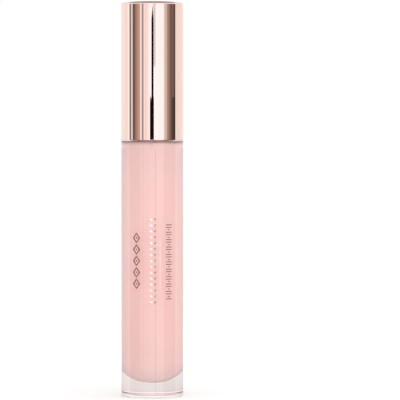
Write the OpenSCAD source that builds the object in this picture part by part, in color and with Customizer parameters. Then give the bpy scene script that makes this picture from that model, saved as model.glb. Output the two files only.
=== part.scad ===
// Lip gloss tube: clear heavy-wall bottle, quarter-turn cap and flocked doe-foot wand.
// Millimetres, +Z up, origin at the centre of the base, cap seated on the bottle.

/* [Bottle] */
// Outside diameter of the clear bottle
bottle_d = 17.9; // [17.7:0.1:18.0]
// Height of the shoulder, where the cap's rim meets the bottle
shoulder_z = 74; // [70:1:90]
// Thickness of the clear base under the middle of the bowl
base_t = 3.9; // [3.5:0.1:6]
// Diameter of the cavity that holds the gloss
cavity_d = 12.8; // [12.4:0.1:14]
// Depth of the cavity's rounded bowl
bowl_depth = 6; // [5:0.5:7]
// Depth of the cavity's top below the shoulder, at the foot of the neck
shoulder_t = 0.5; // [0.5:0.1:3]
// Round on the bottle's bottom edge
foot_round = 0.7; // [0.4:0.1:1]
// Empty height left in the neck, between the gloss and the wiper's lip
headspace = 0.2; // [0.1:0.1:0.9]

/* [Neck] */
// Outside diameter of the neck
neck_d = 12; // [11.8:0.1:12.2]
// Diameter of the neck's bore
neck_bore_d = 8.2; // [8:0.1:8.6]
// Height of the neck above the shoulder
neck_h = 14; // [13:0.5:16]
// Angle that one closure lug covers
lug_angle = 72; // [60:2:74]
// How far a neck lug stands out of the neck
lug_out = 0.75; // [0.7:0.05:0.8]

/* [Cap] */
// Outside diameter of the cap
cap_d = 18.15; // [18.1:0.05:18.4]
// Height of the cap, rim to top
cap_h = 39.85; // [36:0.05:45]
// Wall of the metal shell
shell_t = 0.5; // [0.4:0.05:0.5]
// Round on the cap's top edge
cap_round = 0.7; // [0.5:0.1:1]
// Gap between the cap's rim and the shoulder
seam_gap = 0.15; // [0.1:0.05:0.3]
// Diameter of the space inside the inner cap that takes the neck
skirt_bore_d = 13.9; // [13.8:0.05:14]

/* [Wand] */
// Outside diameter of the stem
stem_d = 4; // [3.9:0.05:4.05]
// Bore of the hollow stem
stem_bore_d = 2.6; // [2.4:0.1:2.8]
// Height of the stem's lower end
stem_end_z = 26.8; // [26.5:0.1:32]
// Length of the applicator's collar, below the stem
collar_len = 5.8; // [5:0.1:7]
// Length of the plug inside the stem
plug_len = 4.4; // [4:0.1:6]
// Length of the flocked doe foot
foot_len = 15.7; // [15.4:0.1:16]
// Thickness of the flock
flock_t = 0.35; // [0.25:0.05:0.45]

/* [Hidden] */

$fn = 96;
eps = 0.01;

// bottle
bottle_r = bottle_d / 2;
cavity_r = cavity_d / 2;
cavity_top_z = shoulder_z - shoulder_t;
cavity_round = 1.2;
neck_r = neck_d / 2;
neck_bore_r = neck_bore_d / 2;
neck_top_z = shoulder_z + neck_h;
shoulder_round = 0.25;
neck_round = 0.4;
recess_r = 6.9;
recess_depth = 0.4;
label_r = 6.6;
label_t = 0.12;
gloss_gap = 0.02;
wand_path_r = 2.9;
wand_path_z = base_t + 0.9;

// closure lugs: two rows of two on the neck, the same inside the cap
lug_rows_z = [shoulder_z + 3.8, shoulder_z + 8.2];
lug_h = 1.4;
lug_slope = 0.3;
lug_play = 0.2;
lug_root = 0.3;
lock_turn = 90;
stop_angle = lock_turn - lug_angle;
cap_lug_angle = lug_angle - 1;
cap_lug_r = neck_r + 0.15;
skirt_bore_r = skirt_bore_d / 2;

// seat of the cap: wiper flange, washer, deck of the inner cap
wiper_flange_t = 0.8;
washer_t = 0.8;
seat_play = 0.02;
wiper_flange_r = 5.6;
washer_z = neck_top_z + wiper_flange_t + seat_play;
deck_z = washer_z + washer_t + seat_play;
deck_t = 1.8;
washer_r = 5.9;
washer_hole_r = stem_d / 2 + 0.2;

// wiper insert
wiper_wall = 0.7;
wiper_tube_len = 9;
wiper_cone_len = 4;
wiper_lip_t = 0.45;
wiper_fit = 0.01;
wiper_hole_r = stem_d / 2 + 0.05;
wiper_tube_z = neck_top_z - wiper_tube_len;
wiper_lip_z = wiper_tube_z - wiper_cone_len;
gloss_top_z = wiper_lip_z - headspace;

// cap
cap_r = cap_d / 2;
cap_rim_z = shoulder_z + seam_gap;
cap_top_z = cap_rim_z + cap_h;
shell_in_r = cap_r - shell_t;
roof_t = 0.8;
rim_round = 0.2;
liner_fit = 0.01;
liner_r = shell_in_r - 0.12;
liner_rim_z = cap_rim_z + 0.35;
crush_ribs = 8;
crush_rib_w = 0.9;
socket_wall = 1.6;
socket_len = 9;
head_groove = 0.25;
crown_gap = 0.05;
crown_ribs = 4;
crown_rib_t = 1.4;

// wand
stem_r = stem_d / 2;
stem_bore_r = stem_bore_d / 2;
head_r = 2.6;
head_fit = 0.01;
head_top_z = deck_z + deck_t + socket_len;
head_bead_z = head_top_z - 2.4;
head_bead_h = 0.8;
collar_end_z = stem_end_z - collar_len;
plug_fit = 0.01;
plug_dimple_r = 0.55;
plug_dimple_depth = 1.2;

// doe foot: fraction of its length, sideways shift of the centre, half width, half depth
FOOT_STATIONS = [
    [0.00, 0.05, 1.80, 1.80],
    [0.18, 0.10, 2.12, 2.05],
    [0.34, 0.15, 1.76, 1.78],
    [0.50, 0.00, 1.72, 1.72],
    [0.66, -0.62, 1.72, 1.66],
    [0.80, -0.90, 1.58, 1.50],
    [0.92, -0.78, 1.15, 1.12],
    [1.00, -0.60, 0.35, 0.40]
];
foot_rings = 29;
foot_sides = 32;

// foil decoration: three upright columns on the front
foil_t = 0.03;
foil_middle_z = 39.2;

// Catmull-Rom value of column c of the foot's stations, at fraction f
function station(i) = FOOT_STATIONS[max(0, min(len(FOOT_STATIONS) - 1, i))];
function span_of(f) = max([for (i = [0 : len(FOOT_STATIONS) - 2]) f >= FOOT_STATIONS[i][0] ? i : 0]);
function slope_at(i, c) = (station(i + 1)[c] - station(i - 1)[c])
    / max(eps, station(i + 1)[0] - station(i - 1)[0]);
function blend(a, b, da, db, w, u) = a * (1 + 2 * u) * pow(1 - u, 2) + w * da * u * pow(1 - u, 2)
    + b * u * u * (3 - 2 * u) + w * db * u * u * (u - 1);
function foot_value(f, c) = let (
        i = span_of(f),
        w = station(i + 1)[0] - station(i)[0],
        u = (f - station(i)[0]) / w
    )
    blend(station(i)[c], station(i + 1)[c], slope_at(i, c), slope_at(i + 1, c), w, u);
function foot_ring(k, inset) = let (
        f = k / (foot_rings - 1),
        x = foot_value(f, 1),
        a = max(0.1, foot_value(f, 2) - inset),
        b = max(0.1, foot_value(f, 3) - inset),
        z = collar_end_z - f * (foot_len - inset)
    )
    [for (s = [0 : foot_sides - 1]) [
        x + a * cos(360 * s / foot_sides),
        b * sin(360 * s / foot_sides),
        z
    ]];

// Closed doe-foot solid, made smaller all over by inset, its top carried up by lead
module foot_solid(inset, lead = 0) {
    first = lead > 0 ? [for (p = foot_ring(0, inset)) p + [0, 0, lead]] : [];
    points = concat(first, [for (k = [0 : foot_rings - 1]) each foot_ring(k, inset)]);
    rings = len(points) / foot_sides;
    top = [for (s = [foot_sides - 1 : -1 : 0]) s];
    tip = [for (s = [0 : foot_sides - 1]) (rings - 1) * foot_sides + s];
    sides = [
        for (k = [0 : rings - 2], s = [0 : foot_sides - 1]) let (
            t = (s + 1) % foot_sides,
            a = k * foot_sides
        ) each [
            [a + s, a + foot_sides + s, a + t],
            [a + t, a + foot_sides + s, a + foot_sides + t]
        ]
    ];
    polyhedron(points = points, faces = concat([top], sides, [tip]));
}

// Plain tube between two heights
module tube(outer, inner, low, high) {
    translate([0, 0, low])
        difference() {
            cylinder(r = outer, h = high - low);
            translate([0, 0, -eps])
                cylinder(r = inner, h = high - low + 2 * eps);
        }
}

// Half outline of the cavity: rounded bowl, straight wall and rounded shoulder, made smaller by inset
module cavity_outline(inset, top_z) {
    r = cavity_r - inset;
    low = base_t + inset;
    bowl_z = base_t + bowl_depth;
    bowl_h = bowl_z - low;
    steps = 24;
    polygon(concat(
        [for (i = [0 : steps]) [r * sin(90 * i / steps), bowl_z - bowl_h * cos(90 * i / steps)]],
        [for (i = [0 : 6]) [
            r - cavity_round * (1 - cos(15 * i)),
            top_z - cavity_round * (1 - sin(15 * i))
        ]],
        [[0, top_z]]
    ));
}

// One ring sector with a sloped underside, from radius low_r to high_r, its lower face at z
module lug(low_r, high_r, z, slope_low, slope_high, angle, middle) {
    rotate([0, 0, middle - angle / 2])
        rotate_extrude(angle = angle)
            polygon([
                [low_r, z + slope_low],
                [high_r, z + slope_high],
                [high_r, z + lug_h - slope_high],
                [low_r, z + lug_h - slope_low]
            ]);
}

module bottle() {
    color([0.93, 0.90, 0.90, 0.35]) {
        difference() {
            union() {
                rotate_extrude()
                    polygon(concat(
                        [[0, 0]],
                        [for (i = [0 : 6]) [
                            bottle_r - foot_round * (1 - sin(15 * i)),
                            foot_round * (1 - cos(15 * i))
                        ]],
                        [for (i = [0 : 3]) [
                            bottle_r - shoulder_round * (1 - cos(30 * i)),
                            shoulder_z - shoulder_round * (1 - sin(30 * i))
                        ]],
                        [[neck_r, shoulder_z], [neck_r, neck_top_z - neck_round]],
                        [[neck_r - neck_round, neck_top_z], [0, neck_top_z]]
                    ));
                for (z = lug_rows_z)
                    for (side = [0, 180]) {
                        lug(neck_r - lug_root, neck_r + lug_out, z, 0, lug_slope, lug_angle, side);
                        stop_rib(z, side);
                    }
            }
            rotate_extrude()
                cavity_outline(0, cavity_top_z);
            translate([0, 0, cavity_top_z - eps])
                cylinder(r = neck_bore_r, h = neck_top_z - cavity_top_z + 1);
            translate([0, 0, -1])
                cylinder(r = recess_r, h = 1 + recess_depth);
        }
    }
}

// Upright rib that ends a neck lug, where the cap's lug stops when it turns
module stop_rib(z, side) {
    drop = lug_h + lug_play;
    rotate([0, 0, side - lug_angle / 2 - stop_angle])
        rotate_extrude(angle = stop_angle)
            translate([neck_r - lug_root, z - drop])
                square([lug_root + lug_out - lug_slope, drop + lug_h - lug_slope]);
}

module gloss_fill() {
    color([0.95, 0.72, 0.70])
        difference() {
            union() {
                rotate_extrude()
                    cavity_outline(gloss_gap, cavity_top_z - gloss_gap);
                translate([0, 0, cavity_top_z - cavity_round])
                    cylinder(r = neck_bore_r - gloss_gap, h = gloss_top_z - cavity_top_z + cavity_round);
            }
            translate([0, 0, wand_path_z])
                cylinder(r = wand_path_r, h = gloss_top_z);
        }
}

// A patch of foil that follows the bottle's front: centre height, centre angle, width, height
module foil_patch(z, turn, wide, high) {
    span = 360 * wide / (PI * bottle_d);
    rotate([0, 0, 270 + turn - span / 2])
        rotate_extrude(angle = span)
            translate([bottle_r, z - high / 2])
                square([foil_t, high]);
}

module foil_print() {
    columns = [[-29.5, 2.7, 16], [2.4, 1.9, 25.3], [33, 2.1, 21.8]];
    color([0.76, 0.54, 0.47])
        for (c = columns)
            foil_patch(foil_middle_z, c[0], c[1], c[2]);
}

module base_label() {
    color([0.95, 0.80, 0.78])
        translate([0, 0, recess_depth - label_t])
            cylinder(r = label_r, h = label_t);
}

module wiper() {
    tube_r = neck_bore_r - wiper_fit;
    color([0.95, 0.95, 0.94])
        rotate_extrude()
            polygon([
                [wiper_flange_r, neck_top_z + wiper_flange_t],
                [tube_r - wiper_wall, neck_top_z + wiper_flange_t],
                [tube_r - wiper_wall, wiper_tube_z],
                [wiper_hole_r, wiper_lip_z + wiper_lip_t],
                [wiper_hole_r, wiper_lip_z],
                [wiper_hole_r + wiper_lip_t, wiper_lip_z],
                [tube_r, wiper_tube_z],
                [tube_r, neck_top_z],
                [wiper_flange_r, neck_top_z]
            ]);
}

module seal_washer() {
    color([0.97, 0.97, 0.96])
        tube(washer_r, washer_hole_r, washer_z, washer_z + washer_t);
}

module inner_cap() {
    crown_top_z = cap_top_z - roof_t - crown_gap;
    socket_top_z = head_top_z;
    color([0.84, 0.84, 0.85]) {
        difference() {
            union() {
                tube(liner_r, skirt_bore_r, liner_rim_z, deck_z + deck_t);
                translate([0, 0, deck_z])
                    cylinder(r = skirt_bore_r + eps, h = deck_t);
                translate([0, 0, deck_z])
                    cylinder(r = head_r + socket_wall, h = socket_top_z - deck_z);
                crush_rib_ring();
                crown(socket_top_z, crown_top_z);
            }
            translate([0, 0, deck_z - 1])
                cylinder(r = head_r, h = socket_top_z - deck_z + 1 - eps);
            translate([0, 0, head_bead_z])
                cylinder(r = head_r + head_groove, h = head_bead_h);
        }
        for (z = lug_rows_z)
            for (side = [0, 180])
                lug(cap_lug_r, skirt_bore_r + lug_root, z - lug_h - lug_play, lug_slope, 0,
                    cap_lug_angle, lock_turn + side);
    }
}

// Thin upright ribs that press the liner into the shell
module crush_rib_ring() {
    intersection() {
        tube(shell_in_r - liner_fit, liner_r - lug_root, liner_rim_z + 1, deck_z + deck_t);
        for (i = [0 : crush_ribs - 1])
            rotate([0, 0, 360 * i / crush_ribs])
                translate([liner_r - 1, -crush_rib_w / 2, liner_rim_z])
                    cube([2, crush_rib_w, deck_z + deck_t - liner_rim_z]);
    }
}

// Cross of ribs from the deck to the shell's roof, round the wand's socket
module crown(socket_top, top) {
    intersection() {
        translate([0, 0, deck_z])
            cylinder(r = shell_in_r - liner_fit, h = top - deck_z);
        for (i = [0 : crown_ribs / 2 - 1])
            rotate([0, 0, 360 * i / crown_ribs])
                translate([-cap_r, -crown_rib_t / 2, deck_z])
                    cube([2 * cap_r, crown_rib_t, top - deck_z]);
    }
    translate([0, 0, socket_top])
        cylinder(r = head_r + socket_wall, h = 1.2);
}

module overcap() {
    color([0.93, 0.74, 0.67])
        rotate_extrude()
            difference() {
                polygon(concat(
                    [[0, cap_rim_z]],
                    [for (i = [0 : 3]) [
                        cap_r - rim_round * (1 - sin(30 * i)),
                        cap_rim_z + rim_round * (1 - cos(30 * i))
                    ]],
                    [for (i = [0 : 6]) [
                        cap_r - cap_round * (1 - cos(15 * i)),
                        cap_top_z - cap_round * (1 - sin(15 * i))
                    ]],
                    [[0, cap_top_z]]
                ));
                translate([-1, cap_rim_z - 1])
                    square([shell_in_r + 1, cap_h - roof_t + 1]);
            }
}

module stem() {
    color([0.93, 0.93, 0.94, 0.5])
        difference() {
            union() {
                translate([0, 0, stem_end_z])
                    cylinder(r = stem_r, h = deck_z - stem_end_z + seat_play);
                translate([0, 0, deck_z + seat_play])
                    cylinder(r = head_r - head_fit, h = head_top_z - deck_z - 3 * seat_play);
                translate([0, 0, head_bead_z + head_fit])
                    cylinder(r = head_r + head_groove - head_fit, h = head_bead_h - 2 * head_fit);
            }
            translate([0, 0, stem_end_z - 1])
                cylinder(r = stem_bore_r, h = head_top_z - stem_end_z);
        }
}

module applicator_core() {
    color([0.96, 0.86, 0.85]) {
        translate([0, 0, collar_end_z])
            cylinder(r = stem_r, h = collar_len - plug_fit);
        difference() {
            translate([0, 0, stem_end_z - 2 * plug_fit])
                cylinder(r = stem_bore_r - plug_fit, h = plug_len);
            translate([0, 0, stem_end_z + plug_len - plug_dimple_depth])
                cylinder(r = plug_dimple_r, h = plug_dimple_depth + 1);
        }
        foot_solid(flock_t);
    }
}

module applicator_flock() {
    color([0.98, 0.76, 0.74])
        difference() {
            foot_solid(0);
            foot_solid(flock_t, eps);
        }
}

bottle();
gloss_fill();
foil_print();
base_label();
wiper();
seal_washer();
inner_cap();
overcap();
stem();
applicator_core();
applicator_flock();
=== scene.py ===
import math
import random

import bmesh
import bpy
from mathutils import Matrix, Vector, noise


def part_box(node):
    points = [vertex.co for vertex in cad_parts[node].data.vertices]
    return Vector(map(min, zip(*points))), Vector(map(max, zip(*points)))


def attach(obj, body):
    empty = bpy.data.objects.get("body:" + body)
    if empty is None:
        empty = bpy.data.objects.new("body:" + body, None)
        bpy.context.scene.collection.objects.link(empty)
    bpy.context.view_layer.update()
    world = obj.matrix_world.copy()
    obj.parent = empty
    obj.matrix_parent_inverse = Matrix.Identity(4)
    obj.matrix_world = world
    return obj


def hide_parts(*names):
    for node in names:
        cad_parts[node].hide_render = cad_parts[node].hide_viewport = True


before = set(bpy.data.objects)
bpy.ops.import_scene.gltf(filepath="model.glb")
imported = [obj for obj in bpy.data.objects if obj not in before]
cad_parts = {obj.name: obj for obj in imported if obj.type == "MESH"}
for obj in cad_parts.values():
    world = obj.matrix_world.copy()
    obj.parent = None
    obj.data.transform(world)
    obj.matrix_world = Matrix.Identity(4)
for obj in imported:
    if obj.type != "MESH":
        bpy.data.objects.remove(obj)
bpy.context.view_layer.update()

bl_info = {
    "name": "Lip Gloss Tube",
    "version": (1, 0, 0),
    "blender": (4, 5, 0),
    "location": "3D View > Sidebar > Gloss Tube",
    "description": "Builds a clear lip gloss tube with a mirror cap and a flocked wand",
    "category": "Add Mesh",
}

MM = 0.001

BOTTLE_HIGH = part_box("bottle")[1]
GLOSS_LOW, GLOSS_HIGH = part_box("gloss_fill")
LABEL_LOW, LABEL_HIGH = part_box("base_label")
FOIL_LOW, FOIL_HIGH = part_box("foil_print")
WIPER_LOW, WIPER_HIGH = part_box("wiper")
WASHER_LOW, WASHER_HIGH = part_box("seal_washer")
CAP_LOW, CAP_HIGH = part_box("overcap")
STEM_LOW, STEM_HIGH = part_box("stem")
CORE_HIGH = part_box("applicator_core")[1]
FLOCK_LOW, FLOCK_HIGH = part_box("applicator_flock")

# How far a liquid or a glued piece is set into the clear plastic, so that no false gap shows
SOAK = 0.02 * MM


# ---------------------------------------------------------------- settings


def length(name, description, default):
    """A distance property in metres."""
    return bpy.props.FloatProperty(
        name=name, description=description, default=default, min=0.0,
        subtype="DISTANCE", unit="LENGTH", precision=5,
    )


def colour(name, description, default):
    """A colour property."""
    return bpy.props.FloatVectorProperty(
        name=name, description=description, default=default, size=3, min=0.0, max=1.0,
        subtype="COLOR",
    )


def share(name, description, default):
    """A number from 0 to 1."""
    return bpy.props.FloatProperty(
        name=name, description=description, default=default, min=0.0, max=1.0, subtype="FACTOR",
    )


class GlossBottleSettings(bpy.types.PropertyGroup):
    """Sizes and colours of the bottle and what is in it."""

    seam: length("Seam", "Gap between the cap's rim and the shoulder", 0.15 * MM)
    foot_round: length("Foot round", "Round on the bottom edge", 0.7 * MM)
    shoulder_round: length("Shoulder round", "Round on the shoulder's edge", 0.12 * MM)
    neck_radius: length("Neck radius", "Outside radius of the neck", 6.0 * MM)
    bore_radius: length("Bore radius", "Radius of the neck's bore", 4.1 * MM)
    shoulder_wall: length("Shoulder wall", "Depth of the cavity's top below the shoulder", 0.5 * MM)
    bowl_depth: length("Bowl depth", "Depth of the cavity's rounded bowl", 6.0 * MM)
    recess_radius: length("Recess radius", "Radius of the recess under the base", 6.9 * MM)
    clear_tint: colour("Clear tint", "Tint of the clear plastic", (1.0, 0.985, 0.98))
    base_tint: colour("Base tint", "Tint of the thick clear base", (0.97, 0.95, 0.945))
    # Painted shade: this tint colours the clear band just under the cap's rim darker and pinkish, for
    # the shade under the cap.
    seam_shade_tint: colour("Seam tint", "Tint of the satin edge at the seam", (1.0, 0.86, 0.84))
    gloss_colour: colour("Gloss", "Colour of the milky gloss", (0.955, 0.68, 0.655))
    foil_colour: colour("Foil", "Colour of the stamped foil", (0.97, 0.77, 0.71))
    label_colour: colour("Label", "Colour of the base label", (0.95, 0.82, 0.81))


class GlossCapSettings(bpy.types.PropertyGroup):
    """Sizes and colours of the cap."""

    wall: length("Wall", "Thickness of the metal shell", 0.5 * MM)
    roof: length("Roof", "Thickness of the shell's top", 0.8 * MM)
    top_round: length("Top round", "Round on the shell's top edge", 0.7 * MM)
    rim_round: length("Rim round", "Round on the shell's rim", 0.1 * MM)
    mirror: colour("Mirror", "Colour of the rose-gold mirror", (0.95, 0.71, 0.637))
    liner: colour("Liner", "Colour of the inner cap", (0.48, 0.48, 0.50))


class GlossWandSettings(bpy.types.PropertyGroup):
    """Sizes and colours of the wand."""

    stem_radius: length("Stem radius", "Outside radius of the stem", 2.0 * MM)
    stem_bore: length("Stem bore", "Radius of the stem's bore", 1.3 * MM)
    flock_depth: length("Flock depth", "Thickness of the flock coat", 0.35 * MM)
    fibre_length: length("Fibre length", "Length of one flock fibre", 0.22 * MM)
    flock_colour: colour("Flock", "Colour of the flock", (0.93, 0.55, 0.52))
    core_colour: colour("Core", "Colour of the applicator's core", (0.94, 0.87, 0.86))


class GlossStageSettings(bpy.types.PropertyGroup):
    """The floor, light and camera."""

    distance: length("Distance", "From the tube to the camera", 0.733)
    eye_height: length("Eye height", "Height of the camera above the floor", 0.0757)
    aim_height: length("Aim height", "Height that the camera looks at", 0.0568)
    aside: length("Aside", "How far the camera stands to the tube's right", 0.01385)
    view_width: length("View width", "Width that the camera sees at the tube", 0.1161)
    light: bpy.props.FloatProperty(
        name="Light", description="Strength of the soft light on dull surfaces",
        default=1.18, min=0.0, soft_max=4.0,
    )


# ---------------------------------------------------------------- shader writing


class Wire:
    """An output socket that can be used in Python arithmetic."""

    def __init__(self, recipe, socket):
        self.recipe = recipe
        self.socket = socket

    def maths(self, operation, *values):
        """A maths node on values, each a wire or a number."""
        return self.recipe.node("ShaderNodeMath", {"operation": operation}, dict(enumerate(values)))

    def __add__(self, other):
        return self.maths("ADD", self, other)

    def __radd__(self, other):
        return self.maths("ADD", other, self)

    def __sub__(self, other):
        return self.maths("SUBTRACT", self, other)

    def __rsub__(self, other):
        return self.maths("SUBTRACT", other, self)

    def __mul__(self, other):
        return self.maths("MULTIPLY", self, other)

    def __rmul__(self, other):
        return self.maths("MULTIPLY", other, self)

    def __truediv__(self, other):
        return self.maths("DIVIDE", self, other)

    def __neg__(self):
        return self.maths("MULTIPLY", self, -1.0)

    def __abs__(self):
        return self.maths("ABSOLUTE", self)

    def __gt__(self, other):
        return self.maths("GREATER_THAN", self, other)

    def __lt__(self, other):
        return self.maths("LESS_THAN", self, other)

    def least(self, other):
        return self.maths("MINIMUM", self, other)

    def most(self, other):
        return self.maths("MAXIMUM", self, other)

    def within(self, low, high):
        """1 between low and high, and 0 outside."""
        return (self > low) * (self < high)

    def ramp(self, start, end):
        """0 at start and 1 at end, straight between them and held outside."""
        return ((self - start) * (1.0 / (end - start))).least(1.0).most(0.0)


class Recipe:
    """Writes the nodes of one material or world."""

    def __init__(self, owner):
        owner.use_nodes = True
        self.tree = owner.node_tree
        self.tree.nodes.clear()

    def node(self, kind, settings=None, sockets=None, out=0):
        """Adds a node: its settings first, then the values or links of its sockets."""
        made = self.tree.nodes.new(kind)
        for name, value in (settings or {}).items():
            if name == "stops":
                self.set_stops(made.color_ramp, value)
            else:
                setattr(made, name, value)
        for key, value in (sockets or {}).items():
            if isinstance(value, Wire):
                self.tree.links.new(value.socket, made.inputs[key])
            else:
                made.inputs[key].default_value = value
        return Wire(self, made.outputs[out]) if len(made.outputs) else made

    def set_stops(self, ramp, stops):
        """Gives a colour ramp its stops of (place, colour)."""
        while len(ramp.elements) < len(stops):
            ramp.elements.new(1.0)
        for element, (place, shade) in zip(ramp.elements, stops):
            element.position = place
            element.color = (*shade, 1.0)

    def place(self):
        """The shaded point in the object's own space."""
        return self.node("ShaderNodeTexCoord", out="Object")

    def parts(self, vector):
        """The x, y and z of a vector."""
        split = self.node("ShaderNodeSeparateXYZ", {}, {0: vector}).socket.node
        return [Wire(self, socket) for socket in split.outputs]

    def grain(self, scale, detail=2.0, stretch=(1.0, 1.0, 1.0)):
        """Noise from 0 to 1 in the object's own space, scale in cycles per metre."""
        spread = self.node("ShaderNodeMapping", {}, {"Vector": self.place(), "Scale": stretch})
        sockets = {"Vector": spread, "Scale": scale, "Detail": detail}
        return self.node("ShaderNodeTexNoise", {}, sockets)

    def between(self, factor, first, second):
        """A colour between two colours."""
        settings = {"data_type": "RGBA", "clamp_factor": True}
        return self.node("ShaderNodeMix", settings, {0: factor, 6: first, 7: second}, out=2)

    def relief(self, height, depth):
        """A normal from a height of 0 to 1 that stands depth metres."""
        return self.node("ShaderNodeBump", {}, {"Height": height, "Distance": depth, "Strength": 1.0})

    def surface(self, shader):
        """Ends the recipe with its shader."""
        self.node("ShaderNodeOutputMaterial", {}, {"Surface": shader})


def rgba(shade, gain=1.0):
    """Four numbers for a colour socket."""
    return (*[min(1.0, c * gain) for c in shade], 1.0)


def new_material(name):
    """An empty material and its recipe."""
    made = bpy.data.materials.new(name)
    return made, Recipe(made)


def clear_plastic(name, tint, ior, haze, base=None, seam=None):
    """Clear moulded plastic with faint flow ripple and handling haze. base and seam are (height,
    tint): the thick base below its height, and a rougher band just under the cap's rim at the seam,
    painted with a darker pinkish tint for the shade under the cap."""
    made, recipe = new_material(name)
    smudge = recipe.grain(260.0, 3.0, (1.0, 1.0, 0.35))
    ripple = recipe.grain(420.0, 1.0, (1.0, 1.0, 0.2))
    body = recipe.between(smudge, rgba(tint), rgba(tint, 0.985))
    gloss = smudge * (0.6 * haze) + 0.4 * haze
    if base:
        height = recipe.parts(recipe.place())[2]
        thick = height.ramp(base[0], base[0] - 1.667 * MM)
        # Painted shade: the band just under the seam is tinted darker and pinkish for the shade under
        # the cap, and is also made rougher.
        seam_shade_and_satin = height.ramp(seam[0] - 0.8 * MM, seam[0] - 0.467 * MM)
        seam_shade_and_satin = seam_shade_and_satin * (height < seam[0] + 0.1 * MM)
        body = recipe.between(thick, body, rgba(base[1]))
        body = recipe.between(seam_shade_and_satin, body, rgba(seam[1]))
        gloss = gloss + seam_shade_and_satin * 0.3
    shader = recipe.node("ShaderNodeBsdfPrincipled", {}, {
        "Base Color": body,
        "Roughness": gloss,
        "IOR": ior,
        "Transmission Weight": 1.0,
        "Normal": recipe.relief(ripple, 0.0008 * MM),
    })
    recipe.surface(shader)
    return made


def milky_gloss(name, shade):
    """Opaque pearly cream: soft light under the skin, slow swirls, fine pearl, and a bowl painted
    paler towards its bottom, a painted light that lifts the shade falling there."""
    made, recipe = new_material(name)
    swirl = recipe.grain(110.0, 3.0, (1.0, 1.0, 0.3))
    pearl = recipe.grain(5200.0, 1.0)
    sparkle = (pearl - 0.62).most(0.0) * 2.2
    # Painted light: the cream is coloured paler towards the bottom of the bowl, to lift the shade
    # that falls on its underside.
    bowl_painted_light = recipe.parts(recipe.place())[2].ramp(13.0 * MM, 3.91 * MM)
    base = recipe.between(swirl, rgba(shade, 0.965), rgba(shade, 1.035))
    base = recipe.between(bowl_painted_light, base, rgba((1.0, 0.745, 0.715)))
    shader = recipe.node("ShaderNodeBsdfPrincipled", {}, {
        "Base Color": recipe.between(sparkle, base, rgba((1.0, 0.86, 0.83))),
        "Roughness": swirl * 0.1 + 0.32,
        "IOR": 1.48,
        "Subsurface Weight": 0.9,
        "Subsurface Radius": (1.0, 0.7, 0.65),
        "Subsurface Scale": 2.5 * MM,
        "Coat Weight": 1.0,
        "Coat Roughness": 0.05,
    })
    recipe.surface(shader)
    return made


def rose_gold_mirror(name, shade):
    """Polished metal shell: true mirror with a trace of waviness and wipe marks."""
    made, recipe = new_material(name)
    wipe = recipe.grain(300.0, 4.0, (1.0, 1.0, 0.15))
    wave = recipe.grain(95.0, 1.0, (1.0, 1.0, 0.5))
    shader = recipe.node("ShaderNodeBsdfPrincipled", {}, {
        "Base Color": recipe.between(wipe, rgba(shade, 0.99), rgba(shade, 1.01)),
        "Metallic": 1.0,
        "Roughness": wipe * 0.02 + 0.006,
        "Normal": recipe.relief(wave, 0.0012 * MM),
    })
    recipe.surface(shader)
    return made


def stamped_foil(name, shade):
    """Hot-stamped foil: fine grained metal."""
    made, recipe = new_material(name)
    fleck = recipe.grain(9000.0, 2.0)
    sheen = recipe.grain(350.0, 2.0)
    shader = recipe.node("ShaderNodeBsdfPrincipled", {}, {
        "Base Color": recipe.between(sheen, rgba(shade, 0.85), rgba(shade, 1.2)),
        "Metallic": 1.0,
        "Roughness": fleck * 0.04 + 0.02,
        "Normal": recipe.relief(fleck, 0.0005 * MM),
    })
    recipe.surface(shader)
    return made


def moulded_plastic(name, shade, roughness, grain_depth, clear=0.0):
    """Satin moulded plastic with a fine eroded grain."""
    made, recipe = new_material(name)
    flow = recipe.grain(180.0, 3.0)
    grain = recipe.grain(6500.0, 2.0)
    shader = recipe.node("ShaderNodeBsdfPrincipled", {}, {
        "Base Color": recipe.between(flow, rgba(shade, 0.96), rgba(shade, 1.03)),
        "Roughness": grain * 0.12 + roughness,
        "IOR": 1.49,
        "Subsurface Weight": 0.1 if clear == 0.0 else 0.0,
        "Subsurface Scale": 0.6 * MM,
        "Transmission Weight": clear,
        "Normal": recipe.relief(grain, grain_depth),
    })
    recipe.surface(shader)
    return made


def closed_foam(name):
    """Fine closed-cell foam."""
    made, recipe = new_material(name)
    cells = recipe.node("ShaderNodeTexVoronoi", {}, {"Vector": recipe.place(), "Scale": 5500.0})
    shader = recipe.node("ShaderNodeBsdfPrincipled", {}, {
        "Base Color": recipe.between(cells, rgba((0.56, 0.55, 0.54)), rgba((0.68, 0.68, 0.67))),
        "Roughness": 0.85,
        "Normal": recipe.relief(cells, 0.03 * MM),
    })
    recipe.surface(shader)
    return made


def flock_fibre(name, shade):
    """Short nylon flock wetted by gloss: soft sheen, colour that varies from fibre to fibre."""
    made, recipe = new_material(name)
    clump = recipe.grain(900.0, 3.0)
    fibre = recipe.grain(12000.0, 1.0)
    mottle = recipe.between(clump, rgba(shade, 0.8), rgba(shade, 1.07))
    shader = recipe.node("ShaderNodeBsdfPrincipled", {}, {
        "Base Color": recipe.between(fibre * 0.35, mottle, rgba((1.0, 0.80, 0.77))),
        "Roughness": fibre * 0.2 + 0.55,
        "Sheen Weight": 0.35,
        "Sheen Roughness": 0.4,
        "Sheen Tint": (1.0, 0.86, 0.84, 1.0),
        "Subsurface Weight": 0.3,
        "Subsurface Radius": (1.0, 0.5, 0.45),
        "Subsurface Scale": 0.5 * MM,
        "Normal": recipe.relief(fibre, 0.03 * MM),
    })
    recipe.surface(shader)
    return made


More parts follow.
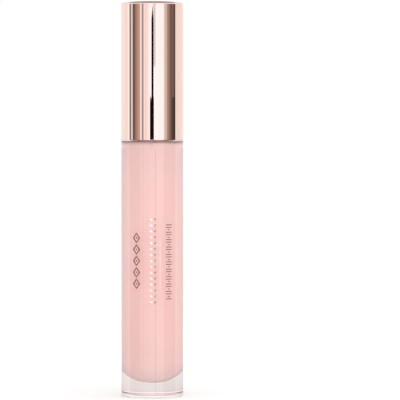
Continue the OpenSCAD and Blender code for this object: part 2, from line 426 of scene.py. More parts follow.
def label_stock(name, shade, rim, middle):
    """Coated paper disc with two plain printed rings."""
    made, recipe = new_material(name)
    plane = {0: recipe.place(), 1: (1.0, 1.0, 0.0)}
    flat = recipe.node("ShaderNodeVectorMath", {"operation": "MULTIPLY"}, plane)
    reach = recipe.node("ShaderNodeVectorMath", {"operation": "LENGTH"}, {0: flat}, out="Value")
    outer = abs(reach - rim) < 0.12 * MM
    inner = abs(reach - middle) < 0.08 * MM
    fleck = recipe.grain(3000.0, 3.0)
    paper = recipe.between(fleck, rgba(shade, 0.95), rgba(shade, 1.04))
    shader = recipe.node("ShaderNodeBsdfPrincipled", {}, {
        "Base Color": recipe.between(outer.most(inner), paper, rgba((0.48, 0.22, 0.20))),
        "Roughness": fleck * 0.1 + 0.4,
        "Normal": recipe.relief(fleck, 0.004 * MM),
    })
    recipe.surface(shader)
    return made


# ---------------------------------------------------------------- mesh making


def finish_piece(name, mesh_data, material, body, node):
    """Closes a piece off: object, shading, material and its place in the frame."""
    mesh = bpy.data.meshes.new(name)
    bmesh.ops.remove_doubles(mesh_data, verts=mesh_data.verts, dist=1e-7)
    bmesh.ops.recalc_face_normals(mesh_data, faces=mesh_data.faces)
    mesh_data.to_mesh(mesh)
    mesh_data.free()
    for face in mesh.polygons:
        face.use_smooth = True
    mesh.set_sharp_from_angle(angle=math.radians(32.0))
    piece = bpy.data.objects.new(name, mesh)
    bpy.context.scene.collection.objects.link(piece)
    mesh.materials.append(material)
    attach(piece, body)
    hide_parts(node)
    return piece


def arc_corner(before, corner, after, radius, steps):
    """Points of the arc that rounds a corner of an outline."""
    here = Vector(corner)
    into = (Vector(before) - here).normalized()
    away = (Vector(after) - here).normalized()
    half = into.angle(away) / 2
    reach = radius / math.tan(half)
    centre = here + (into + away).normalized() * (radius / math.sin(half))
    start = here + into * reach - centre
    end = here + away * reach - centre
    sweep = start.angle(end)
    rounds = []
    for k in range(steps + 1):
        part = k / steps
        blend = start * math.sin((1 - part) * sweep) + end * math.sin(part * sweep)
        rounds.append(centre + blend / math.sin(sweep))
    return [(p.x, p.y) for p in rounds]


def rounded(outline, steps=6, hold=0.03 * MM):
    """An open half outline of (radius, height, round) with its corners rounded and held crisp."""
    done = [outline[0][:2]]
    for k in range(1, len(outline) - 1):
        corner = outline[k]
        if corner[2] == 0.0:
            done.append(corner[:2])
            continue
        before, after = outline[k - 1][:2], outline[k + 1][:2]
        arc = arc_corner(before, corner[:2], after, corner[2], steps)
        for end, other, at in ((arc[0], before, 0), (arc[-1], after, len(arc) + 1)):
            gap = Vector(other) - Vector(end)
            if gap.length > 2 * hold:
                near = Vector(end) + gap.normalized() * hold
                arc.insert(at if at == 0 else len(arc), (near.x, near.y))
        done.extend(arc)
    done.append(outline[-1][:2])
    return done


def bowl_points(radius, low, depth, steps=28):
    """Half an ellipse's lower quarter, from the wall down to the axis."""
    angles = [math.pi / 2 * (1 - k / steps) for k in range(steps + 1)]
    return [(radius * math.sin(a), low + depth * (1 - math.cos(a)), 0.0) for a in angles]


def lathe(outline, turns=192, swell=None):
    """A closed solid turned about the tube's axis. An outline that ends on the axis is capped
    there, and any other is joined end to start. swell(radius, height, angle) may move a point."""
    mesh = bmesh.new()
    closed = outline[0][0] > 0.0 and outline[-1][0] > 0.0
    rings = []
    for radius, height in outline:
        if radius <= 0.0:
            rings.append([mesh.verts.new((0.0, 0.0, height))])
            continue
        ring = []
        for k in range(turns):
            angle = math.tau * k / turns
            reach = swell(radius, height, angle) if swell else radius
            ring.append(mesh.verts.new((reach * math.cos(angle), reach * math.sin(angle), height)))
        rings.append(ring)
    pairs = list(zip(rings, rings[1:])) + ([(rings[-1], rings[0])] if closed else [])
    for first, second in pairs:
        for k in range(turns):
            after = (k + 1) % turns
            if len(first) == 1:
                mesh.faces.new((first[0], second[k], second[after]))
            elif len(second) == 1:
                mesh.faces.new((first[k], second[0], first[after]))
            else:
                mesh.faces.new((first[k], second[k], second[after], first[after]))
    return mesh


# Closure lugs: two rows of two on the neck, and two rows of two inside the cap
LUG_LOW = (3.8 * MM, 8.2 * MM)
LUG_HEIGHT = 1.4 * MM
LUG_SLOPE = 0.3 * MM
LUG_OUT = 0.75 * MM
LUG_PLAY = 0.2 * MM
LUG_HALF_ANGLE = math.radians(36.0)
STOP_ANGLE = math.radians(18.0)


def side_angle(angle):
    """The angle from the nearer of the two lug middles, from -90 to 90 degrees."""
    return (angle + math.pi / 2) % math.pi - math.pi / 2


def neck_swell(shoulder, neck_radius):
    """Moves the neck's surface out where its lugs and their stops are."""

    def swell(radius, height, angle):
        if abs(radius - neck_radius) > 1e-7:
            return radius
        turn = side_angle(angle)
        for low in LUG_LOW:
            up = height - shoulder - low
            on_lug = LUG_SLOPE - 1e-7 < up < LUG_HEIGHT - LUG_SLOPE + 1e-7
            if on_lug and abs(turn) < LUG_HALF_ANGLE:
                return radius + LUG_OUT
            on_stop = -LUG_HEIGHT - LUG_PLAY + LUG_SLOPE < up < LUG_HEIGHT - LUG_SLOPE + 1e-7
            if on_stop and -LUG_HALF_ANGLE - STOP_ANGLE < turn < -LUG_HALF_ANGLE:
                return radius + LUG_OUT - LUG_SLOPE
        return radius

    return swell


def neck_rings(shoulder, radius):
    """Outline points up the neck, one ring for each edge of a lug and its stop."""
    rows = []
    for low in LUG_LOW:
        start = shoulder + low
        steps = (-LUG_HEIGHT - LUG_PLAY, -LUG_HEIGHT - LUG_PLAY + 1.2 * LUG_SLOPE, 0.0,
                 LUG_SLOPE, LUG_HEIGHT - LUG_SLOPE, LUG_HEIGHT)
        rows += [(radius, start + s, 0.0) for s in steps]
    return rows


# ---------------------------------------------------------------- the bottle's pieces


class GLOSS_OT_bottle(bpy.types.Operator):
    """Moulds the clear bottle: thick base, bowl-shaped cavity, shoulder, neck and lugs"""

    bl_idname = "gloss.bottle"
    bl_label = "Clear bottle"

    def execute(self, context):
        sizes = context.scene.gloss_bottle
        shoulder = CAP_LOW.z - sizes.seam
        wall = BOTTLE_HIGH.x
        top = BOTTLE_HIGH.z
        cavity = GLOSS_HIGH.x + SOAK
        cavity_top = shoulder - sizes.shoulder_wall
        bowl = GLOSS_LOW.z - SOAK
        recess = LABEL_HIGH.z
        neck = sizes.neck_radius
        outline = [
            (0.0, recess, 0.0),
            (sizes.recess_radius, recess, 0.12 * MM),
            (sizes.recess_radius, 0.0, 0.15 * MM),
            (wall, 0.0, sizes.foot_round),
            (wall, shoulder, sizes.shoulder_round),
            (neck, shoulder, 0.2 * MM),
            *neck_rings(shoulder, neck),
            (neck, top, 0.4 * MM),
            (sizes.bore_radius, top, 0.1 * MM),
            (sizes.bore_radius, cavity_top, 0.2 * MM),
            (cavity, cavity_top, 1.2 * MM),
            *bowl_points(cavity, bowl, sizes.bowl_depth),
        ]
        mesh = lathe(rounded(outline), swell=neck_swell(shoulder, neck))
        thick_base = (GLOSS_LOW.z + 3.0 * MM, sizes.base_tint)
        seam = (shoulder, sizes.seam_shade_tint)
        clear = clear_plastic("clear_heavy_wall", sizes.clear_tint, 1.57, 0.02, thick_base, seam)
        finish_piece("clear_bottle", mesh, clear, "bottle", "bottle")
        return {"FINISHED"}


class GLOSS_OT_filling(bpy.types.Operator):
    """Pours the milky gloss into the cavity, with the path of the wand left open"""

    bl_idname = "gloss.filling"
    bl_label = "Gloss"

    def execute(self, context):
        sizes = context.scene.gloss_bottle
        wall = GLOSS_HIGH.x + 2 * SOAK
        low = GLOSS_LOW.z - 2 * SOAK
        path = 2.9 * MM
        path_floor = low + 0.95 * MM
        neck = sizes.bore_radius + SOAK
        shoulder = CAP_LOW.z - sizes.seam - sizes.shoulder_wall + 0.3 * MM
        outline = [
            (path, path_floor, 0.0),
            (path, GLOSS_HIGH.z, 0.15 * MM),
            (neck, GLOSS_HIGH.z, 0.15 * MM),
            (neck, shoulder, 0.2 * MM),
            (wall, shoulder, 1.2 * MM),
            *bowl_points(wall, low, sizes.bowl_depth),
        ]
        mesh = lathe([(0.0, path_floor)] + rounded(outline))
        cream = milky_gloss("milky_gloss", sizes.gloss_colour)
        finish_piece("gloss", mesh, cream, "bottle", "gloss_fill")
        return {"FINISHED"}


class GLOSS_OT_foil(bpy.types.Operator):
    """Stamps the foil: upright columns of lozenges, of paired leaves and of dashes"""

    bl_idname = "gloss.foil"
    bl_label = "Foil decoration"

    def execute(self, context):
        sizes = context.scene.gloss_bottle
        self.mesh = bmesh.new()
        self.inside = BOTTLE_HIGH.x - 0.005 * MM
        self.outside = -FOIL_LOW.y
        middle = (FOIL_LOW.z + FOIL_HIGH.z) / 2
        self.lozenges(-29.5, middle + 0.3 * MM, 5, 3.3 * MM, 1.2 * MM)
        self.sprig(2.4, middle, 25.0 * MM)
        self.rule(15.6, middle - 0.8 * MM, 15.4 * MM)
        self.dashes(33.0, middle, 21.6 * MM)
        foil = stamped_foil("stamped_foil", sizes.foil_colour)
        finish_piece("foil_ornament", self.mesh, foil, "bottle", "foil_print")
        return {"FINISHED"}

    def place(self, turn, across, height, radius):
        """A point on the bottle's front: turn in degrees from the middle, across along the wall."""
        angle = math.radians(turn - 90.0) + across / BOTTLE_HIGH.x
        return (radius * math.cos(angle), radius * math.sin(angle), height)

    def band(self, turn, middle, outer, inner):
        """A closed foil ring between two loops of (across, up)."""
        loops = []
        for loop, radius in ((outer, self.inside), (outer, self.outside),
                             (inner, self.outside), (inner, self.inside)):
            points = [self.place(turn, x, middle + z, radius) for x, z in loop]
            loops.append([self.mesh.verts.new(point) for point in points])
        for first, second in zip(loops, loops[1:] + loops[:1]):
            for k in range(len(first)):
                after = (k + 1) % len(first)
                self.mesh.faces.new((first[k], first[after], second[after], second[k]))

    def patch(self, turn, middle, loop):
        """A closed foil patch inside a loop of (across, up)."""
        top = [self.mesh.verts.new(self.place(turn, x, middle + z, self.outside)) for x, z in loop]
        low = [self.mesh.verts.new(self.place(turn, x, middle + z, self.inside)) for x, z in loop]
        self.mesh.faces.new(top)
        self.mesh.faces.new(list(reversed(low)))
        for k in range(len(loop)):
            after = (k + 1) % len(loop)
            self.mesh.faces.new((top[k], low[k], low[after], top[after]))

    def lozenge_loop(self, half_width, half_height, steps=6):
        """Points round a lozenge."""
        tips = [(half_width, 0.0), (0.0, half_height), (-half_width, 0.0), (0.0, -half_height)]
        loop = []
        for (x0, z0), (x1, z1) in zip(tips, tips[1:] + tips[:1]):
            loop += [(x0 + (x1 - x0) * k / steps, z0 + (z1 - z0) * k / steps) for k in range(steps)]
        return loop

    def bead_loop(self, radius, count=16):
        """Points round a bead."""
        turns = [math.tau * k / count for k in range(count)]
        return [(radius * math.cos(a), radius * math.sin(a)) for a in turns]

    def lozenges(self, turn, middle, count, pitch, half_width):
        """An upright chain of open lozenges, each with a bead in it."""
        half_height = pitch * 0.47
        line = 0.3
        outer = self.lozenge_loop(half_width, half_height)
        inner = self.lozenge_loop(half_width * (1 - 1.3 * line), half_height * (1 - line))
        for k in range(count):
            height = middle + (k - (count - 1) / 2) * pitch
            self.band(turn, height, outer, inner)
            self.patch(turn, height, self.bead_loop(0.24 * MM))

    def sprig(self, turn, middle, tall):
        """An upright row of paired leaves that lean away from the middle."""
        pairs = 15
        tip, root, half = 0.95 * MM, 0.1 * MM, 0.2 * MM
        rise = 0.62
        leaf = []
        for step in range(7):
            bulge = abs(math.sin(math.pi * step / 6)) ** 0.6
            leaf.append((root + (tip - root) * step / 6, half * bulge))
        leaf += [(x, -z) for x, z in leaf[-2:0:-1]]
        for k in range(pairs):
            up = (k / (pairs - 1) - 0.5) * (tall - 1.2 * MM)
            for side in (-1, 1):
                loop = [(side * (x - rise * z * 0.5), z + rise * x) for x, z in leaf]
                self.patch(turn, middle + up, loop)

    def rule(self, turn, middle, tall):
        """A fine upright line."""
        half = 0.05 * MM
        steps = [(k / 8 - 0.5) * tall for k in range(9)]
        loop = [(half, z) for z in steps] + [(-half, z) for z in reversed(steps)]
        self.patch(turn, middle, loop)

    def dashes(self, turn, middle, tall):
        """An upright row of dashes, every third one short."""
        count = 31
        thick = 0.11 * MM
        for k in range(count):
            half = (0.35 if k % 3 == 1 else 0.95) * MM
            up = (k / (count - 1) - 0.5) * (tall - 0.3 * MM)
            edge = [-half, -half / 2, 0.0, half / 2, half]
            loop = [(x, -thick) for x in edge] + [(x, thick) for x in reversed(edge)]
            self.patch(turn, middle + up, loop)


class GLOSS_OT_label(bpy.types.Operator):
    """Sticks the round label in the base's recess"""

    bl_idname = "gloss.label"
    bl_label = "Base label"

    def execute(self, context):
        sizes = context.scene.gloss_bottle
        edge = LABEL_HIGH.x
        glued = LABEL_HIGH.z + SOAK
        outline = [(0.0, LABEL_LOW.z, 0.0), (edge, LABEL_LOW.z, 0.03 * MM),
                   (edge, glued, 0.03 * MM), (0.0, glued, 0.0)]
        paper = label_stock("label_stock", sizes.label_colour, edge - 0.6 * MM, edge * 0.5)
        mesh = lathe(rounded(outline, steps=3, hold=0.01 * MM), turns=96)
        finish_piece("shade_label", mesh, paper, "bottle", "base_label")
        return {"FINISHED"}


class GLOSS_OT_wiper(bpy.types.Operator):
    """Seats the soft wiper in the neck: flange, tube and the lip that hugs the stem"""

    bl_idname = "gloss.wiper"
    bl_label = "Wiper"

    def execute(self, context):
        stem = context.scene.gloss_wand.stem_radius
        bore = context.scene.gloss_bottle.bore_radius - 0.01 * MM
        wall = 0.7 * MM
        lip = 0.45 * MM
        hole = stem + 0.05 * MM
        neck_top = BOTTLE_HIGH.z
        cone_top = WIPER_LOW.z + 4.0 * MM
        outline = [
            (bore - wall, cone_top, 0.0),
            (bore - wall, WIPER_HIGH.z, 0.25 * MM),
            (WIPER_HIGH.x, WIPER_HIGH.z, 0.25 * MM),
            (WIPER_HIGH.x, neck_top, 0.1 * MM),
            (bore, neck_top, 0.1 * MM),
            (bore, cone_top, 0.3 * MM),
            (hole + lip, WIPER_LOW.z, 0.1 * MM),
            (hole, WIPER_LOW.z, 0.1 * MM),
            (hole, WIPER_LOW.z + lip, 0.05 * MM),
            (bore - wall, cone_top, 0.0),
        ]
        soft = moulded_plastic("soft_wiper", (0.62, 0.62, 0.61), 0.32, 0.002 * MM)
        mesh = lathe(rounded(outline)[:-1], turns=128)
        finish_piece("neck_wiper", mesh, soft, "bottle", "wiper")
        return {"FINISHED"}


# ---------------------------------------------------------------- the cap's pieces


class GLOSS_OT_washer(bpy.types.Operator):
    """Slips the foam washer over the stem"""

    bl_idname = "gloss.washer"
    bl_label = "Seal washer"

    def execute(self, context):
        hole = context.scene.gloss_wand.stem_radius + 0.2 * MM
        low, high = WASHER_LOW.z, WASHER_HIGH.z
        outline = [(hole, low, 0.0), (WASHER_HIGH.x, low, 0.12 * MM),
                   (WASHER_HIGH.x, high, 0.12 * MM), (hole, high, 0.0)]
        mesh = lathe(rounded(outline), turns=128)
        finish_piece("foam_washer", mesh, closed_foam("closed_foam"), "washer", "seal_washer")
        return {"FINISHED"}


class GLOSS_OT_overcap(bpy.types.Operator):
    """Draws the polished rose-gold shell of the cap"""

    bl_idname = "gloss.overcap"
    bl_label = "Rose-gold shell"

    def execute(self, context):
        sizes = context.scene.gloss_cap
        edge, low, high = CAP_HIGH.x, CAP_LOW.z, CAP_HIGH.z
        inside = edge - sizes.wall
        outline = [
            (0.0, high, 0.0),
            (edge, high, sizes.top_round),
            (edge, low, sizes.rim_round),
            (inside, low, 0.1 * MM),
            (inside, high - sizes.roof, 0.3 * MM),
            (0.0, high - sizes.roof, 0.0),
        ]
        mesh = lathe(rounded(outline, steps=8), turns=256)
        mirror = rose_gold_mirror("rose_gold_mirror", sizes.mirror)
        finish_piece("rose_gold_shell", mesh, mirror, "cap", "overcap")
        return {"FINISHED"}


class GLOSS_OT_inner_cap(bpy.types.Operator):
    """Finishes the inner cap that the shell is pressed on"""

    bl_idname = "gloss.inner_cap"
    bl_label = "Inner cap"

    def execute(self, context):
        liner = moulded_plastic("inner_cap_plastic", context.scene.gloss_cap.liner, 0.28, 0.002 * MM)
        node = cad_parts["inner_cap"]
        node.data.materials.clear()
        node.data.materials.append(liner)
        return {"FINISHED"}


class GLOSS_OT_stem(bpy.types.Operator):
    """Draws the clear hollow stem and the head that snaps into the inner cap"""

    bl_idname = "gloss.stem"
    bl_label = "Stem"

    def execute(self, context):
        sizes = context.scene.gloss_wand
        head = 2.59 * MM
        bead = STEM_HIGH.x
        shoulder = WASHER_HIGH.z + 0.04 * MM
        top = STEM_HIGH.z
        bead_low = top - 2.35 * MM
        bead_high = bead_low + 0.78 * MM
        outline = [
            (0.0, top - 1.0 * MM, 0.0),
            (sizes.stem_bore, top - 1.0 * MM, 0.15 * MM),
            (sizes.stem_bore, STEM_LOW.z, 0.08 * MM),
            (sizes.stem_radius, STEM_LOW.z, 0.12 * MM),
            (sizes.stem_radius, shoulder, 0.1 * MM),
            (head, shoulder, 0.1 * MM),
            (head, bead_low, 0.05 * MM),
            (bead, bead_low, 0.1 * MM),
            (bead, bead_high, 0.1 * MM),
            (head, bead_high, 0.05 * MM),
            (head, top, 0.25 * MM),
            (0.0, top, 0.0),
        ]
        mesh = lathe(rounded(outline), turns=128)
        clear = clear_plastic("clear_stem", (0.90, 0.895, 0.90), 1.49, 0.06)
        finish_piece("wand_stem", mesh, clear, "cap", "stem")
        return {"FINISHED"}


# Doe foot: share of its length, shift of its middle, half width and half depth, in millimetres
FOOT_STATIONS = (
    (0.00, 0.05, 1.80, 1.80),
    (0.18, 0.10, 2.12, 2.05),
    (0.34, 0.15, 1.76, 1.78),
    (0.50, 0.00, 1.72, 1.72),
    (0.66, -0.62, 1.72, 1.66),
    (0.80, -0.90, 1.58, 1.50),
    (0.92, -0.78, 1.15, 1.12),
    (1.00, -0.60, 0.35, 0.40),
)


def foot_value(along, column):
    """A smooth curve through one column of the foot's stations."""
    last = len(FOOT_STATIONS) - 1
    k = max(i for i in range(last) if along >= FOOT_STATIONS[i][0])

    def slope(i):
        before, after = FOOT_STATIONS[max(i - 1, 0)], FOOT_STATIONS[min(i + 1, last)]
        return (after[column] - before[column]) / (after[0] - before[0])

    first, second = FOOT_STATIONS[k], FOOT_STATIONS[k + 1]
    width = second[0] - first[0]
    u = (along - first[0]) / width
    return (
        first[column] * (1 + 2 * u) * (1 - u) ** 2
        + width * slope(k) * u * (1 - u) ** 2
        + second[column] * u * u * (3 - 2 * u)
        + width * slope(k + 1) * u * u * (u - 1)
    )


def foot_point(along, angle, inset, top, tall):
    """A point on the foot's skin, inset metres under it."""
    middle = foot_value(along, 1) * MM
    wide = max(foot_value(along, 2) * MM - inset, 0.1 * MM)
    deep = max(foot_value(along, 3) * MM - inset, 0.1 * MM)
    return Vector((
        middle + wide * math.cos(angle),
        deep * math.sin(angle),
        top - along * (tall - inset),
    ))


def loft_foot(mesh, inset, top, tall, rings, sides, rough):
    """Adds the foot's closed skin; rough moves its points by a noise of that size in metres."""
    rows = []
    for k in range(rings + 1):
        along = k / rings
        middle = Vector((foot_value(along, 1) * MM, 0.0, top - along * (tall - inset)))
        row = []
        for s in range(sides):
            point = foot_point(along, math.tau * s / sides, inset, top, tall)
            if rough:
                out = (point - middle).normalized()
                point = point - out * rough * (0.5 + 0.5 * noise.noise(point * 2600.0))
            row.append(mesh.verts.new(point))
        rows.append(row)
    for first, second in zip(rows, rows[1:]):
        for s in range(sides):
            after = (s + 1) % sides
            mesh.faces.new((first[s], second[s], second[after], first[after]))
    mesh.faces.new(rows[0])
    mesh.faces.new(list(reversed(rows[-1])))


class GLOSS_OT_core(bpy.types.Operator):
    """Moulds the applicator's core: plug, collar and the foot under the flock"""

    bl_idname = "gloss.core"
    bl_label = "Applicator core"

    def execute(self, context):
        sizes = context.scene.gloss_wand
        plug = sizes.stem_bore - 0.01 * MM
        collar_top = STEM_LOW.z - 0.01 * MM
        foot_top = FLOCK_HIGH.z
        outline = [
            (0.0, foot_top, 0.0),
            (sizes.stem_radius, foot_top, 0.15 * MM),
            (sizes.stem_radius, collar_top, 0.12 * MM),
            (plug, collar_top, 0.0),
            (plug, CORE_HIGH.z, 0.3 * MM),
            (0.55 * MM, CORE_HIGH.z, 0.1 * MM),
            (0.55 * MM, CORE_HIGH.z - 1.2 * MM, 0.0),
            (0.0, CORE_HIGH.z - 1.2 * MM, 0.0),
        ]
        mesh = lathe(rounded(outline), turns=96)
        tall = FLOCK_HIGH.z - FLOCK_LOW.z
        loft_foot(mesh, sizes.flock_depth, foot_top + 0.01 * MM, tall, 40, 48, 0.0)
        soft = moulded_plastic("applicator_core", sizes.core_colour, 0.3, 0.003 * MM, clear=0.8)
        finish_piece("applicator_core_and_collar", mesh, soft, "cap", "applicator_core")
        return {"FINISHED"}


class GLOSS_OT_flock(bpy.types.Operator):
    """Flocks the doe foot: an uneven coat with short fibres standing out of it"""

    bl_idname = "gloss.flock"
    bl_label = "Flock"

    def execute(self, context):
        sizes = context.scene.gloss_wand
        top = FLOCK_HIGH.z
        tall = FLOCK_HIGH.z - FLOCK_LOW.z
        mesh = bmesh.new()
        root = sizes.fibre_length * 0.6
        loft_foot(mesh, root, top, tall, 110, 96, 0.12 * MM)
        chance = random.Random(7)
        for _ in range(12000):
            self.fibre(mesh, chance, sizes.fibre_length, root, top, tall)
        nylon = flock_fibre("wet_flock", sizes.flock_colour)
        finish_piece("flocked_tip", mesh, nylon, "cap", "applicator_flock")
        return {"FINISHED"}

    def fibre(self, mesh, chance, long, root, top, tall):
        """Stands one tapered three-sided fibre on the coat."""
        along = chance.uniform(0.01, 0.985)
        angle = chance.uniform(0.0, math.tau)
        base = foot_point(along, angle, root + 0.1 * MM, top, tall)
        tip = foot_point(along, angle, 0.0, top, tall)
        out = (tip - base).normalized()
        lean = Vector([chance.uniform(-0.45, 0.45) for _ in range(3)])
        reach = (tip - base).length * chance.uniform(0.75, 1.0)
        point = base + (out + lean * 0.4) * reach
        side = out.orthogonal().normalized()
        other = out.cross(side)
        thick = long * 0.09
        foot = []
        for k in range(3):
            turn = math.tau * k / 3
            corner = side * math.cos(turn) + other * math.sin(turn)
            foot.append(mesh.verts.new(base + corner * thick))
        end = mesh.verts.new(point)
        for k in range(3):
            mesh.faces.new((foot[k], foot[(k + 1) % 3], end))
        mesh.faces.new(list(reversed(foot)))


# ---------------------------------------------------------------- the stage

# Panels round the tube: first and last azimuth in degrees from the camera, positive to the
# right, brightness at each, and tint. Bright ones are soft boxes and dark ones are flags.
BLACK = (0.004, 0.002, 0.002)
WHITE = (1.0, 1.0, 1.0)
BRIGHT = (1.0, 1.0, 1.08)
WARM = (1.0, 0.77, 0.67)
ROSY = (1.0, 0.93, 0.92)
COOL = (0.93, 0.93, 1.0)
BROWN = (0.13, 0.045, 0.035)
PANELS = (
    (-180, -116, 1.02, 1.0, WHITE),
    (-112, -103, 0.96, 0.94, WHITE),
    (-101, -91.5, 1.16, 1.16, WHITE),
    (-91, -86, 0.06, 0.06, WARM),
    (-85, -76.5, 0.66, 0.95, WHITE),
    (-75.5, -67.5, 0.15, 0.15, WARM),
    (-66, -44, 0.25, 0.66, WARM),
    (-42.2, -38.4, 1.2, 1.15, WHITE),
    (-38, -33.8, 0.34, 0.36, COOL),
    (-33.4, -30.2, 0.6, 0.62, ROSY),
    (-29.8, -26.6, 1.1, 1.05, WHITE),
    (-26, -9.5, 0.88, 1.14, WHITE),
    (-9, 0, 1.3, 1.3, BRIGHT),
    (0.1, 14, 1.3, 1.3, BRIGHT),
    (14.5, 44, 1.3, 1.22, BRIGHT),
    (45, 48, 0.86, 0.8, WHITE),
    (48.5, 56, 0.66, 0.7, ROSY),
    (57, 76, 0.5, 0.12, WARM),
    (77, 79, 0.14, 0.22, WARM),
    (79.5, 88, 0.22, 0.17, WARM),
    (88.5, 94, 0.07, 0.08, WARM),
    (97, 180, 0.92, 1.03, WHITE),
)
PANEL_GAIN = 1.4


class GLOSS_OT_stage(bpy.types.Operator):
    """Sets the pale floor, the soft studio light and the camera"""

    bl_idname = "gloss.stage"
    bl_label = "Stage"

    def execute(self, context):
        sizes = context.scene.gloss_stage
        self.floor()
        self.light(context.scene, sizes)
        self.camera(context.scene, sizes)
        context.scene.view_settings.view_transform = "Standard"
        context.scene.view_settings.look = "None"
        context.scene.cycles.blur_glossy = 0.0
        return {"FINISHED"}

    def floor(self):
        """A round pale floor, which the mirror cap doesn't show, painted a darker pinkish shade where
        it is seen through the clear plastic.
        """
        mesh = bmesh.new()
        bmesh.ops.create_circle(mesh, cap_ends=True, segments=96, radius=0.45)
        made, recipe = new_material("pale_floor")
        fleck = recipe.grain(60.0, 2.0)
        pale = recipe.between(fleck, rgba((0.93, 0.93, 0.93)), rgba((0.95, 0.95, 0.95)))
        # Painted shade: seen through the clear plastic, the floor is coloured darker and pinkish, for
        # the darker studio seen through the base.
        through = recipe.node("ShaderNodeLightPath", out="Is Transmission Ray")
        scattered = recipe.node("ShaderNodeLightPath", out="Diffuse Depth") > 0.0
        through_painted_shade = through * (1.0 - scattered)
        shader = recipe.node("ShaderNodeBsdfPrincipled", {}, {
            "Base Color": recipe.between(through_painted_shade, pale, rgba((0.78, 0.715, 0.70))),
            "Roughness": 0.9,
            "Specular IOR Level": 0.1,
        })
        recipe.surface(shader)
        data = bpy.data.meshes.new("floor")
        mesh.to_mesh(data)
        mesh.free()
        data.materials.append(made)
        ground = bpy.data.objects.new("floor", data)
        bpy.context.scene.collection.objects.link(ground)
        ground.visible_glossy = False

    def light(self, scene, sizes):
        """White soft light all round, with the studio's panels and flags in the reflections."""
        world = bpy.data.worlds.new("studio")
        scene.world = world
        recipe = Recipe(world)
        x, y, z = recipe.parts(recipe.node("ShaderNodeTexCoord", out="Generated"))
        azimuth = x.maths("ARCTAN2", x, -y) * math.degrees(1.0)
        rise = z.maths("ARCSINE", z) * math.degrees(1.0)
        left, right = self.stops()
        left = recipe.node("ShaderNodeValToRGB", {"stops": left}, {0: azimuth / 180.0 + 1.0})
        right = recipe.node("ShaderNodeValToRGB", {"stops": right}, {0: azimuth / 180.0})
        panels = recipe.between(azimuth > 0.0, left, right)
        panels = self.flags(recipe, panels, azimuth, rise)
        panels = recipe.between(rise.ramp(5.0, 9.0), panels, rgba(WHITE, 0.97 / PANEL_GAIN))
        panels = recipe.between(rise.ramp(36.0, 46.0), panels, rgba(WARM, 0.3 / PANEL_GAIN))
        glossy = recipe.node("ShaderNodeLightPath", out="Is Glossy Ray")
        through = recipe.node("ShaderNodeLightPath", out="Is Transmission Ray")
        mirror = glossy * (1.0 - through)
        shade = recipe.between(mirror, rgba(WHITE), panels)
        diffuse = recipe.node("ShaderNodeLightPath", out="Diffuse Depth") > 0.0
        key = (x * 0.14 - y * 0.3 + 1.0) * sizes.light
        strength = mirror * (PANEL_GAIN - 1.0) * (1.0 - diffuse) + diffuse * (key - 1.0) + 1.0
        sky = recipe.node("ShaderNodeBackground", {}, {"Color": shade, "Strength": strength})
        recipe.node("ShaderNodeOutputWorld", {}, {"Surface": sky})

    def flags(self, recipe, panels, azimuth, rise):
        """Adds the flags that stand at some heights only: darker sides low down, a grey strip
        high up, and the black bar in front, whose place changes with the height."""
        level = rise < 0.85
        low = rise < -0.3
        panels = recipe.between(azimuth.within(78.0, 95.0) * level * 0.55, panels, rgba(BLACK))
        panels = recipe.between(low * (abs(azimuth) > 110.0) * 0.3, panels, rgba(BLACK))
        panels = recipe.between(low * abs(azimuth).within(44.0, 85.0) * 0.75, panels, rgba(BROWN))
        strip = azimuth.within(5.0, 13.5) * (rise > 1.55)
        panels = recipe.between(strip, panels, rgba(WHITE, 0.78 / PANEL_GAIN))
        middle = 2.0 - level * 2.1 + low * 13.0
        half = rise.ramp(2.95, 2.617) * 3.8 + level * 3.4 - low * 4.7
        return recipe.between(abs(azimuth - middle) < half, panels, rgba(BLACK))

    def stops(self):
        """Ramp stops for the left and the right half of the panels."""
        halves = ([], [])
        for first, last, dim, bright, tint in PANELS:
            for azimuth, level in ((first, dim), (last, bright)):
                shade = tuple(min(1.0, c * level / PANEL_GAIN) for c in tint)
                for half, start in ((0, -180), (1, 0)):
                    place = (azimuth - start) / 180
                    if 0 <= place <= 1:
                        halves[half].append((place, shade))
        return halves

    def camera(self, scene, sizes):
        """A long lens at the height of the cap's rim, looking a little down."""
        data = bpy.data.cameras.new("camera")
        camera = bpy.data.objects.new("camera", data)
        scene.collection.objects.link(camera)
        camera.location = (sizes.aside, -sizes.distance, sizes.eye_height)
        aim = Vector((sizes.aside, 0.0, sizes.aim_height))
        camera.rotation_euler = (aim - camera.location).to_track_quat("-Z", "Y").to_euler()
        data.sensor_width = 36.0
        data.lens = 36.0 * sizes.distance / sizes.view_width
        data.clip_start = 0.01
        data.clip_end = 20.0
        scene.camera = camera


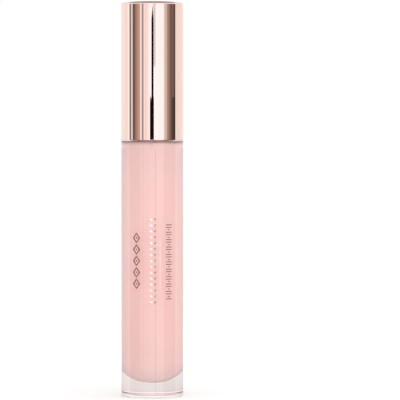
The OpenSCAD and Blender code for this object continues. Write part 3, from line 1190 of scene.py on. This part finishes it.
PIECES = (
    GLOSS_OT_bottle,
    GLOSS_OT_filling,
    GLOSS_OT_foil,
    GLOSS_OT_label,
    GLOSS_OT_wiper,
    GLOSS_OT_washer,
    GLOSS_OT_overcap,
    GLOSS_OT_inner_cap,
    GLOSS_OT_stem,
    GLOSS_OT_core,
    GLOSS_OT_flock,
    GLOSS_OT_stage,
)


class GLOSS_PT_panel(bpy.types.Panel):
    """Lists the tube's pieces and settings"""

    bl_label = "Lip Gloss Tube"
    bl_idname = "GLOSS_PT_panel"
    bl_space_type = "VIEW_3D"
    bl_region_type = "UI"
    bl_category = "Gloss Tube"

    def draw(self, context):
        for group in ("gloss_bottle", "gloss_cap", "gloss_wand", "gloss_stage"):
            box = self.layout.box()
            settings = getattr(context.scene, group)
            for name in settings.__annotations__:
                box.prop(settings, name)
        for piece in PIECES:
            self.layout.operator(piece.bl_idname)


SETTINGS = {
    "gloss_bottle": GlossBottleSettings,
    "gloss_cap": GlossCapSettings,
    "gloss_wand": GlossWandSettings,
    "gloss_stage": GlossStageSettings,
}


def register():
    for group in SETTINGS.values():
        bpy.utils.register_class(group)
    for name, group in SETTINGS.items():
        setattr(bpy.types.Scene, name, bpy.props.PointerProperty(type=group))
    for piece in PIECES:
        bpy.utils.register_class(piece)
    bpy.utils.register_class(GLOSS_PT_panel)


def unregister():
    bpy.utils.unregister_class(GLOSS_PT_panel)
    for piece in reversed(PIECES):
        bpy.utils.unregister_class(piece)
    for name, group in SETTINGS.items():
        delattr(bpy.types.Scene, name)
        bpy.utils.unregister_class(group)


def main():
    register()
    bpy.ops.gloss.bottle()
    bpy.ops.gloss.filling()
    bpy.ops.gloss.foil()
    bpy.ops.gloss.label()
    bpy.ops.gloss.wiper()
    bpy.ops.gloss.washer()
    bpy.ops.gloss.overcap()
    bpy.ops.gloss.inner_cap()
    bpy.ops.gloss.stem()
    bpy.ops.gloss.core()
    bpy.ops.gloss.flock()
    bpy.ops.gloss.stage()


if __name__ == "__main__":
    main()
